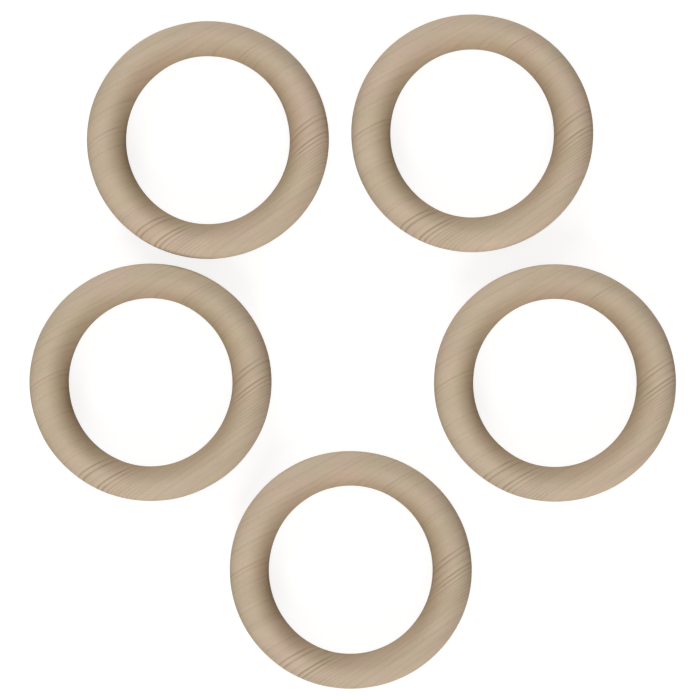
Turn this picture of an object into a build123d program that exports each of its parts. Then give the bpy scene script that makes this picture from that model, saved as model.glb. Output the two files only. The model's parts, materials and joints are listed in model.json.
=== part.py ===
from build123d import *
import os

# Five loose gymnastics rings of solid wood, lying flat on a surface at z = 0.
# Millimetres. +Z is up, +Y runs along the set's longer side, and the origin is
# under the middle of the whole set's bounding box, on the surface.

# Driving dimensions of one ring
OUTER_DIAMETER = 180.0
BAR_DIAMETER = 28.0

# Worked out from them
BAR_RADIUS = BAR_DIAMETER / 2
CENTRELINE_RADIUS = OUTER_DIAMETER / 2 - BAR_RADIUS

# Where the middle of each ring lies: two rings above, two in the middle, one below
RING_CENTRES = {
    "ring_top_left": (-108.5, 158.5),
    "ring_top_right": (89.5, 163.5),
    "ring_middle_left": (-151.5, -23.0),
    "ring_middle_right": (151.5, -23.5),
    "ring_bottom": (-1.5, -163.5),
}


def wooden_ring(centre_x, centre_y):
    """A full circle of round bar, resting on its side."""
    return Pos(centre_x, centre_y, BAR_RADIUS) * Torus(CENTRELINE_RADIUS, BAR_RADIUS)


os.makedirs("parts", exist_ok=True)
for name, (centre_x, centre_y) in RING_CENTRES.items():
    export_step(wooden_ring(centre_x, centre_y), f"parts/{name}.step")
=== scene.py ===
"""Looks of five loose wooden gymnastics rings, lying flat on a pale studio floor.

Each ring is turned from one board of pale, unlacquered hardwood. Its mesh is a torus with the slight
waviness of a hand-sanded surface, and it carries the attributes that its wood is drawn from:
  board        the point in its board, in millimetres: along the grain, across the growth layers, through
  lathe        the point as the lathe's tool met it, in millimetres: distance from the axis, height
  end_grain    how squarely the surface cuts across the grain, from 0 to 1
  ring_number  a different number on each ring, so that no two have the same fibres
"""
import json
import math

import bmesh
import bpy
import numpy as np
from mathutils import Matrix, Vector


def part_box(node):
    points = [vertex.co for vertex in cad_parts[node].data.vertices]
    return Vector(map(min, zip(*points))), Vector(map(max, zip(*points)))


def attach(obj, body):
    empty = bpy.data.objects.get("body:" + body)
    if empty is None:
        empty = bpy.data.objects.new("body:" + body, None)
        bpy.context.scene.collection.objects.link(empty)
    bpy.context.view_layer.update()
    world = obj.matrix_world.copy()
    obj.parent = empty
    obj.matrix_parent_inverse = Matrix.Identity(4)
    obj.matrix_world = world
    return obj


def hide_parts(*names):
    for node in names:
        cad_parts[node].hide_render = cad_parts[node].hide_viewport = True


MM = 0.001

# The board that each ring is cut from
GRAIN_ANGLE = math.radians(31.6)        # direction of the grain in the set's plan, from +X
LAYER_SLOPE = 0.21                      # how far the growth layers lean over, per unit of height
LAYER_CURVE = 0.00033                   # how they bend along the board, per millimetre
LAYER_SPREAD = 0.00066                  # how they spread along the board, per millimetre
LAYER_DRIFT = 0.6                       # how far they wander sideways, in millimetres
LAYERS_PER_MM = 0.36                    # how closely the faint layers lie between the growth lines

# Growth lines that stand out: (millimetres across the grain from the ring's centre, strength)
GROWTH_LINES = [(-37.5, 0.5), (34.0, 0.9), (37.5, 0.6), (47.5, 1.0), (50.5, 0.8)]
# The band of fine, evenly spaced ones beyond them
FINE_LINES = 7
FINE_LINES_START = 53.5
FINE_LINE_SPACING = 2.1
FINE_LINE_STRENGTH = 0.38
# From a growth line's middle, in millimetres: where it begins to fade, and its edge
LINE_CORE = 0.1
LINE_WIDTH = 1.0
# From a growth line back to the pale wood before it, and that wood's own core and edge
PALE_GAP = 1.75
PALE_CORE = 0.3
PALE_WIDTH = 1.3
# Where the growth lines are faint: (from, to, strength at from, strength at to), in millimetres
FADE_AT_BOARD_END = (64.0, 84.0, 1.0, 0.3)
FADE_AT_BOARD_MIDDLE = (38.0, 56.0, 0.4, 1.0)
FADE_INSIDE_RING = (63.0, 72.0, 0.35, 1.0)
PAINTED_SHADE_SPREAD = (61.5, 79.0, 1.0, 0.0)     # how much of the painted shade on the ring's inner side shows, by distance from the axis

# Sizes of the wood's patterns, in millimetres: along the grain, across the growth layers, through them
DRIFT_SIZE = (45, 25, 25)
PRESENCE_SIZE = (24, 7, 10)
MOTTLE_SIZE = (44, 26, 26)
PATCH_SIZE = (60, 26, 26)
BAND_SIZE = (160, 9, 30)
STREAK_SIZE = (60, 2.6, 5)
FIBRE_SIZE = (14, 0.5, 0.5)
RAY_SIZE = (2.4, 8, 0.7)
TURNING_MARK_SIZE = (1.3, 1.3, 1.3)
SANDED_SIZE = (30, 30, 30)
# Added to a ring's number, so that a pattern differs from the others of its size
PATCH_SEED = 7.0
SANDED_SEED = 3.0

# What a pattern's noise makes of the wood: (noise from, noise to, result at from, result at to)
PRESENCE = (0.3, 0.58, 0.5, 1.0)
FAINT_LAYERS = (0.5, 0.72, 0.0, 0.2)
MOTTLE = (0.36, 0.64, 0.0, 1.0)
PATCHES = (0.3, 0.7, 0.0, 0.5)
BAND_TONE = (0.3, 0.7, 0.975, 1.025)
STREAK_TONE = (0.32, 0.68, 0.986, 1.014)
FIBRE_TONE = (0.3, 0.7, 0.955, 1.04)
RAYS = (0.12, 0.26, 1.0, 0.0)
MARKS_LEFT = (0.42, 0.62, 0.0, 1.0)
FIBRE_ROUGHNESS = (0.3, 0.7, 0.54, 0.64)
PATCH_ROUGHNESS = (0.35, 0.65, -0.04, 0.04)

# How much brighter or darker these make the wood
PALE_WOOD_TONE = 0.045
RAY_TONE = -0.09
END_GRAIN_TONE = -0.07
TURNING_MARK_TONE = 0.10

# How much rougher end grain is, and how high each pattern stands in the relief
END_GRAIN_ROUGHNESS = 0.1
FIBRE_HEIGHT = 0.6
LATE_WOOD_DEPTH = 0.35
RAY_DEPTH = 0.4
TURNING_MARK_HEIGHT = 1.2
RELIEF = 0.05 * MM
RELIEF_STRENGTH = 0.6
WOOD_IOR = 1.45
WOOD_SPECULAR = 0.3

# The mesh of a ring
STEPS_ROUND_RING = 480
STEPS_ROUND_BAR = 160
SANDING_WAVES = 14
SANDING_WAVELENGTHS = (16, 60)
SANDING_DEPTH = 0.06 * MM               # the waves together reach up to four times this
BAR_UNEVENNESS = 0.06                   # how much wider the bar is at left and right, and narrower between

# The camera looks straight down from high up
LENS_MM = 135.0
SENSOR_MM = 36.0
FRAME_WIDTH = 0.5246
AIM = (-0.00205, 0.0012)

# Distant lamps: name, degrees round from +X, degrees up, degrees across, W/m2, colour
LAMPS = [
    ("front", 270, 28, 30, 2.02, (0.98, 0.99, 1.00)),
    ("back_left", 112, 28, 30, 1.78, (0.93, 0.97, 1.00)),
]
ROOM_LIGHT = 0.37
ROOM_COLOUR = (1.0, 0.92, 0.81, 1.0)

# The studio sweep: the floor's flat radius, the curve up to its wall, and the wall's top, in metres
STAGE_RADIUS = 4.0
STAGE_CURVE = 2.0
STAGE_HEIGHT = 8.0
STAGE_STEPS = 12
STAGE_STEPS_ROUND = 96
FLOOR_REFLECTANCE = (0.3, 0.3, 0.3)
FLOOR_GLOW = 0.84
BOUNCE_REFLECTANCE = (0.38, 0.35, 0.31)
BOUNCE_DEPTH = 1 * MM


def srgb(red, green, blue):
    """A colour given as 0-255 screen values, as the linear values that shaders use."""
    screen = np.array([red, green, blue]) / 255
    linear = np.where(screen <= 0.04045, screen / 12.92, ((screen + 0.055) / 1.055) ** 2.4)
    return (*linear.tolist(), 1.0)


PALE_WOOD = srgb(201, 183, 162)
DARK_WOOD = srgb(167, 148, 126)
PINK_WOOD = srgb(203, 181, 161)
OLIVE_WOOD = srgb(197, 181, 156)
# Painted shade: the colour that the ring's inner side is multiplied by, darker and warmer as if shaded
# inside the hole
PAINTED_INNER_SHADE = (0.77, 0.72, 0.65, 1.0)


class Shader:
    """A node tree under construction: each call adds a node and returns its output socket."""

    def __init__(self, tree):
        self.tree = tree

    def node(self, kind, output=0, inputs=None, **settings):
        node = self.tree.nodes.new(kind)
        for name, value in settings.items():
            setattr(node, name, value)
        for name, value in (inputs or {}).items():
            self.feed(node.inputs[name], value)
        return node.outputs[output]

    def feed(self, socket, value):
        if isinstance(value, bpy.types.NodeSocket):
            self.tree.links.new(value, socket)
        else:
            socket.default_value = value

    def math(self, operation, first, second=0.0, third=0.0):
        return self.node("ShaderNodeMath", operation=operation, inputs={0: first, 1: second, 2: third})

    def add(self, first, second):
        return self.math("ADD", first, second)

    def times(self, first, second):
        return self.math("MULTIPLY", first, second)

    def attribute(self, name, output):
        return self.node("ShaderNodeAttribute", output=output, attribute_name=name)

    def part_of(self, vector, index):
        return self.node("ShaderNodeSeparateXYZ", output=index, inputs={0: vector})

    def in_units_of(self, vector, size):
        factors = [1 / length for length in size]
        return self.node("ShaderNodeVectorMath", operation="MULTIPLY", inputs={0: vector, 1: factors})

    def noise(self, vector, size, number, detail=2.0, roughness=0.5):
        """Smooth noise from 0 to 1 with features of a size, different for each number."""
        return self.node("ShaderNodeTexNoise", noise_dimensions="4D",
                         inputs={"Vector": self.in_units_of(vector, size), "W": number, "Scale": 1.0,
                                 "Detail": detail, "Roughness": roughness})

    def ramp(self, value, low, high, to_low, to_high):
        """value from low..high as to_low..to_high, with soft ends."""
        return self.node("ShaderNodeMapRange", interpolation_type="SMOOTHSTEP",
                         inputs={"Value": value, "From Min": low, "From Max": high, "To Min": to_low,
                                 "To Max": to_high})

    def mix(self, amount, first, second):
        return self.node("ShaderNodeMix", output=2, data_type="RGBA",
                         inputs={0: amount, 6: first, 7: second})

    def tint(self, colour, tone, amount=1.0):
        """colour multiplied by a tone, which is a brightness about 1 or another colour."""
        return self.node("ShaderNodeMix", output=2, data_type="RGBA", blend_type="MULTIPLY",
                         inputs={0: amount, 6: colour, 7: tone})

    def tone(self, colour, pattern, strength):
        """colour made brighter by strength where pattern is 1."""
        return self.tint(colour, self.math("MULTIPLY_ADD", pattern, strength, 1.0))


class Grain:
    """What the wood's patterns are worked out from, at each point of a ring."""

    def __init__(self, shader):
        self.board = shader.attribute("board", "Vector")
        self.lathe = shader.attribute("lathe", "Vector")
        self.number = shader.attribute("ring_number", "Fac")
        self.end = shader.attribute("end_grain", "Fac")
        self.along = shader.part_of(self.board, 0)
        self.from_axis = shader.part_of(self.lathe, 0)
        drift = shader.noise(self.board, DRIFT_SIZE, 0.0)
        offset = shader.math("SUBTRACT", shader.part_of(self.board, 1), LAYER_DRIFT / 2)
        self.across = shader.math("MULTIPLY_ADD", drift, LAYER_DRIFT, offset)


def growth_lines(shader, grain):
    """The dark lines of late wood and the pale wood before each, both 0 elsewhere and up to 1."""
    dark, pale = 0.0, 0.0
    fine = [(FINE_LINES_START + step * FINE_LINE_SPACING, FINE_LINE_STRENGTH) for step in range(FINE_LINES)]
    for place, strength in GROWTH_LINES + fine:
        distance = shader.math("SUBTRACT", grain.across, place)
        line = shader.ramp(shader.math("ABSOLUTE", distance), LINE_CORE, LINE_WIDTH, strength, 0.0)
        before = shader.math("ABSOLUTE", shader.add(distance, PALE_GAP))
        gap = shader.ramp(before, PALE_CORE, PALE_WIDTH, strength, 0.0)
        dark = shader.add(dark, line)
        pale = shader.add(pale, gap)

    presence = shader.ramp(shader.noise(grain.board, PRESENCE_SIZE, grain.number), *PRESENCE)
    presence = shader.times(presence, shader.ramp(grain.along, *FADE_AT_BOARD_END))
    from_middle = shader.math("ABSOLUTE", grain.along)
    presence = shader.times(presence, shader.ramp(from_middle, *FADE_AT_BOARD_MIDDLE))
    presence = shader.times(presence, shader.ramp(grain.from_axis, *FADE_INSIDE_RING))
    return shader.times(dark, presence), shader.times(pale, presence)


def faint_layers(shader, grain):
    """The many weak growth layers between the lines, plainer on end grain."""
    layers = shader.node("ShaderNodeTexNoise", noise_dimensions="1D",
                         inputs={"W": grain.across, "Scale": LAYERS_PER_MM, "Detail": 1.5,
                                 "Roughness": 0.6})
    return shader.times(shader.ramp(layers, *FAINT_LAYERS), shader.add(grain.end, 1.0))


def mottled_wood(shader, grain, patches):
    """The wood's own colour, which drifts between a pinkish, an olive and a pale one."""
    mottle = shader.noise(grain.board, MOTTLE_SIZE, grain.number, detail=1.0)
    colour = shader.mix(shader.ramp(mottle, *MOTTLE), PINK_WOOD, OLIVE_WOOD)
    return shader.mix(shader.ramp(patches, *PATCHES), colour, PALE_WOOD)


def ray_flecks(shader, grain):
    """Short flecks lying across the layers, 1 in their middle."""
    flecks = shader.node("ShaderNodeTexVoronoi", voronoi_dimensions="4D",
                         inputs={"Vector": shader.in_units_of(grain.board, RAY_SIZE), "W": grain.number,
                                 "Scale": 1.0, "Randomness": 1.0})
    return shader.ramp(flecks, *RAYS)


def turning_marks(shader, grain):
    """What is left of the lathe tool's marks, sanded away in places: from -0.5 to 0.5."""
    marks = shader.noise(grain.lathe, TURNING_MARK_SIZE, grain.number, roughness=0.6)
    sanding = shader.noise(grain.board, SANDED_SIZE, shader.add(grain.number, SANDED_SEED))
    left = shader.ramp(sanding, *MARKS_LEFT)
    return shader.times(shader.math("SUBTRACT", marks, 0.5), left)


def wood_material():
    material = bpy.data.materials.new("sanded_hardwood")
    material.use_nodes = True
    tree = material.node_tree
    tree.nodes.clear()
    shader = Shader(tree)
    grain = Grain(shader)
    dark, pale = growth_lines(shader, grain)
    late = shader.math("MINIMUM", shader.add(dark, faint_layers(shader, grain)), 1.0)
    patches = shader.noise(grain.board, PATCH_SIZE, shader.add(grain.number, PATCH_SEED))
    bands = shader.noise(grain.board, BAND_SIZE, grain.number, detail=1.0)
    streaks = shader.noise(grain.board, STREAK_SIZE, grain.number, detail=1.0)
    fibres = shader.noise(grain.board, FIBRE_SIZE, grain.number, detail=3.0, roughness=0.6)
    rays = ray_flecks(shader, grain)
    marks = turning_marks(shader, grain)

    # Colour: growth layers, what runs along the grain, rays, end grain, painted shade on the inner side and
    # turning marks
    colour = shader.mix(late, mottled_wood(shader, grain, patches), DARK_WOOD)
    colour = shader.tone(colour, pale, PALE_WOOD_TONE)
    for pattern, tones in ((bands, BAND_TONE), (streaks, STREAK_TONE), (fibres, FIBRE_TONE)):
        colour = shader.tint(colour, shader.ramp(pattern, *tones))
    colour = shader.tone(colour, rays, RAY_TONE)
    colour = shader.tone(colour, grain.end, END_GRAIN_TONE)
    # Painted shade: the inner side of the bar made darker and warmer, most at its innermost edge
    colour = shader.tint(colour, PAINTED_INNER_SHADE, amount=shader.ramp(grain.from_axis, *PAINTED_SHADE_SPREAD))
    colour = shader.tone(colour, marks, TURNING_MARK_TONE)

    # Roughness and fine relief
    roughness = shader.ramp(fibres, *FIBRE_ROUGHNESS)
    roughness = shader.add(roughness, shader.times(grain.end, END_GRAIN_ROUGHNESS))
    roughness = shader.add(roughness, shader.ramp(patches, *PATCH_ROUGHNESS))
    height = shader.times(fibres, FIBRE_HEIGHT)
    height = shader.math("MULTIPLY_ADD", late, -LATE_WOOD_DEPTH, height)
    height = shader.math("MULTIPLY_ADD", rays, -RAY_DEPTH, height)
    height = shader.math("MULTIPLY_ADD", marks, TURNING_MARK_HEIGHT, height)
    bump = shader.node("ShaderNodeBump",
                       inputs={"Strength": RELIEF_STRENGTH, "Distance": RELIEF, "Height": height})
    surface = shader.node("ShaderNodeBsdfPrincipled",
                          inputs={"Base Color": colour, "Roughness": roughness, "Normal": bump,
                                  "IOR": WOOD_IOR, "Specular IOR Level": WOOD_SPECULAR})
    output = tree.nodes.new("ShaderNodeOutputMaterial")
    tree.links.new(surface, output.inputs["Surface"])
    return material


def sanding_relief(points, number):
    """The offset along its normal, 0 or below, that hand sanding leaves at each point of a ring."""
    random = np.random.default_rng(number)
    relief = np.zeros(len(points))
    for _ in range(SANDING_WAVES):
        direction = random.normal(size=3)
        direction /= np.linalg.norm(direction)
        wavelength = random.uniform(*SANDING_WAVELENGTHS) * MM
        phase = random.uniform(0, math.tau)
        relief += np.sin(points @ direction * math.tau / wavelength + phase)
    return (relief - relief.max()) * SANDING_DEPTH / math.sqrt(SANDING_WAVES)


def board_attributes(local, normal, number):
    """The values that the wood is drawn from, for points and normals about a ring's own centre."""
    grain = np.array([math.cos(GRAIN_ANGLE), math.sin(GRAIN_ANGLE), 0])
    side = np.array([math.sin(GRAIN_ANGLE), -math.cos(GRAIN_ANGLE), 0])
    along = local @ grain / MM
    aside = local @ side / MM
    up = local[:, 2] / MM
    across = aside + LAYER_SLOPE * up + LAYER_CURVE * along ** 2 + LAYER_SPREAD * along * aside
    through = up - LAYER_SLOPE * aside
    from_axis = np.hypot(local[:, 0], local[:, 1]) / MM
    vectors = {
        "board": np.column_stack([along, across, through]),
        "lathe": np.column_stack([from_axis, up, np.zeros_like(up)]),
    }
    numbers = {
        "end_grain": (normal @ grain) ** 2,
        "ring_number": np.full(len(local), float(number)),
    }
    return vectors, numbers


def ring_mesh(name, node, number):
    """The visible mesh of the ring that a CAD node holds, with the attributes of its wood."""
    low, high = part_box(node)
    centre = np.array((low + high) / 2)
    bar_radius = (high.z - low.z) / 2
    centreline = (high.x - low.x) / 2 - bar_radius

    round_ring, round_bar = np.meshgrid(
        np.arange(STEPS_ROUND_RING) * math.tau / STEPS_ROUND_RING,
        np.arange(STEPS_ROUND_BAR) * math.tau / STEPS_ROUND_BAR, indexing="ij")
    round_ring, round_bar = round_ring.ravel(), round_bar.ravel()
    outward = np.column_stack([np.cos(round_ring), np.sin(round_ring), np.zeros_like(round_ring)])
    normal = outward * np.cos(round_bar)[:, None]
    normal[:, 2] = np.sin(round_bar)
    widening = 1 + BAR_UNEVENNESS * np.cos(2 * round_ring)
    local = outward * (centreline + bar_radius * widening * np.cos(round_bar))[:, None]
    local[:, 2] = bar_radius * np.sin(round_bar)
    shape = local + normal * sanding_relief(local, number)[:, None]

    corner = np.arange(STEPS_ROUND_RING * STEPS_ROUND_BAR).reshape(STEPS_ROUND_RING, STEPS_ROUND_BAR)
    ahead = np.roll(corner, -1, axis=0)
    quads = np.stack([corner, ahead, np.roll(ahead, -1, axis=1), np.roll(corner, -1, axis=1)], axis=-1)

    mesh = bpy.data.meshes.new(name)
    mesh.from_pydata((shape + centre).tolist(), [], quads.reshape(-1, 4).tolist())
    mesh.shade_smooth()
    vectors, numbers = board_attributes(local, normal, number)
    for label, values in vectors.items():
        mesh.attributes.new(label, "FLOAT_VECTOR", "POINT").data.foreach_set("vector", values.ravel())
    for label, values in numbers.items():
        mesh.attributes.new(label, "FLOAT", "POINT").data.foreach_set("value", values)
    return mesh


def make_rings():
    wood = wood_material()
    for number, (body, nodes) in enumerate(sorted(frame["record"]["behaviour"]["bodies"].items()), start=1):
        for node in nodes:
            mesh = ring_mesh(node + "_wood", node, number)
            mesh.materials.append(wood)
            ring = bpy.data.objects.new(node + "_wood", mesh)
            bpy.context.scene.collection.objects.link(ring)
            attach(ring, body)
            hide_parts(node)


def stage_material(name, reflectance, glow):
    """A matt surface that also glows evenly."""
    material = bpy.data.materials.new(name)
    material.use_nodes = True
    surface = material.node_tree.nodes["Principled BSDF"]
    surface.inputs["Base Color"].default_value = (*reflectance, 1)
    surface.inputs["Roughness"].default_value = 1.0
    surface.inputs["Specular IOR Level"].default_value = 0.0
    surface.inputs["Emission Color"].default_value = (1, 1, 1, 1)
    surface.inputs["Emission Strength"].default_value = glow
    return material


def stage_disc(name, profile, material):
    """A round stage, whose profile is (radius, height) points from its middle outwards."""
    disc = bmesh.new()
    points = [disc.verts.new((radius, 0, height)) for radius, height in profile]
    lines = [disc.edges.new(pair) for pair in zip(points, points[1:])]
    bmesh.ops.spin(disc, geom=points + lines, axis=(0, 0, 1), cent=(0, 0, 0), angle=math.tau,
                   steps=STAGE_STEPS_ROUND, use_merge=True)
    bmesh.ops.remove_doubles(disc, verts=disc.verts, dist=1 * MM)
    mesh = bpy.data.meshes.new(name)
    disc.to_mesh(mesh)
    disc.free()
    mesh.shade_smooth()
    mesh.materials.append(material)
    stage = bpy.data.objects.new(name, mesh)
    bpy.context.scene.collection.objects.link(stage)
    return stage


def make_stage():
    """A white sweep that only the camera sees, over a greyer floor that light bounces off."""
    radii = (0.0, 1.0, 2.0, 3.0, STAGE_RADIUS)
    flat = [(radius, 0.0) for radius in radii]
    turns = [step / STAGE_STEPS * math.pi / 2 for step in range(1, STAGE_STEPS + 1)]
    curve = [(STAGE_RADIUS + STAGE_CURVE * math.sin(turn), STAGE_CURVE * (1 - math.cos(turn)))
             for turn in turns]
    wall_top = (STAGE_RADIUS + STAGE_CURVE, STAGE_HEIGHT)
    white = stage_material("studio_white", FLOOR_REFLECTANCE, FLOOR_GLOW)
    floor = stage_disc("floor", flat + curve + [wall_top], white)
    floor.visible_diffuse = False
    floor.visible_glossy = False
    floor.visible_shadow = False
    grey = stage_material("studio_grey", BOUNCE_REFLECTANCE, 0.0)
    bounce = stage_disc("bounce_floor", [(radius, -BOUNCE_DEPTH) for radius in radii], grey)
    bounce.visible_camera = False
    bounce.visible_shadow = False


def make_lights():
    """Distant lamps, which light every ring alike, and an even light from everywhere else."""
    world = bpy.data.worlds.new("studio")
    world.use_nodes = True
    bpy.context.scene.world = world
    background = world.node_tree.nodes["Background"]
    background.inputs["Color"].default_value = ROOM_COLOUR
    background.inputs["Strength"].default_value = ROOM_LIGHT
    for name, azimuth, elevation, across, strength, colour in LAMPS:
        light = bpy.data.lights.new(name, "SUN")
        light.angle = math.radians(across)
        light.energy = strength
        light.color = colour
        lamp = bpy.data.objects.new(name, light)
        azimuth, elevation = math.radians(azimuth), math.radians(elevation)
        towards = Vector((math.cos(azimuth) * math.cos(elevation), math.sin(azimuth) * math.cos(elevation),
                          math.sin(elevation)))
        lamp.rotation_euler = towards.to_track_quat("Z", "Y").to_euler()
        bpy.context.scene.collection.objects.link(lamp)


def make_camera():
    camera = bpy.data.cameras.new("camera")
    camera.lens = LENS_MM
    camera.sensor_width = SENSOR_MM
    holder = bpy.data.objects.new("camera", camera)
    ring_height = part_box("ring_bottom")[1].z
    distance = FRAME_WIDTH * LENS_MM / SENSOR_MM
    holder.location = (*AIM, ring_height / 2 + distance)
    bpy.context.scene.collection.objects.link(holder)
    bpy.context.scene.camera = holder


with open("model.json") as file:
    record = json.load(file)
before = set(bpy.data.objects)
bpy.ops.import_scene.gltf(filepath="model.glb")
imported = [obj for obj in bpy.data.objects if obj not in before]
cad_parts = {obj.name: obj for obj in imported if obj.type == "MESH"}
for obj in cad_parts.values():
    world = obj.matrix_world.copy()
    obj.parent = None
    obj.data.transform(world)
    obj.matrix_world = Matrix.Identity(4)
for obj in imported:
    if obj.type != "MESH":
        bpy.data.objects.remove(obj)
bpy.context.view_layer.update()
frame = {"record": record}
bpy.context.scene.view_settings.view_transform = "Standard"
make_camera()
make_lights()
make_stage()
make_rings()
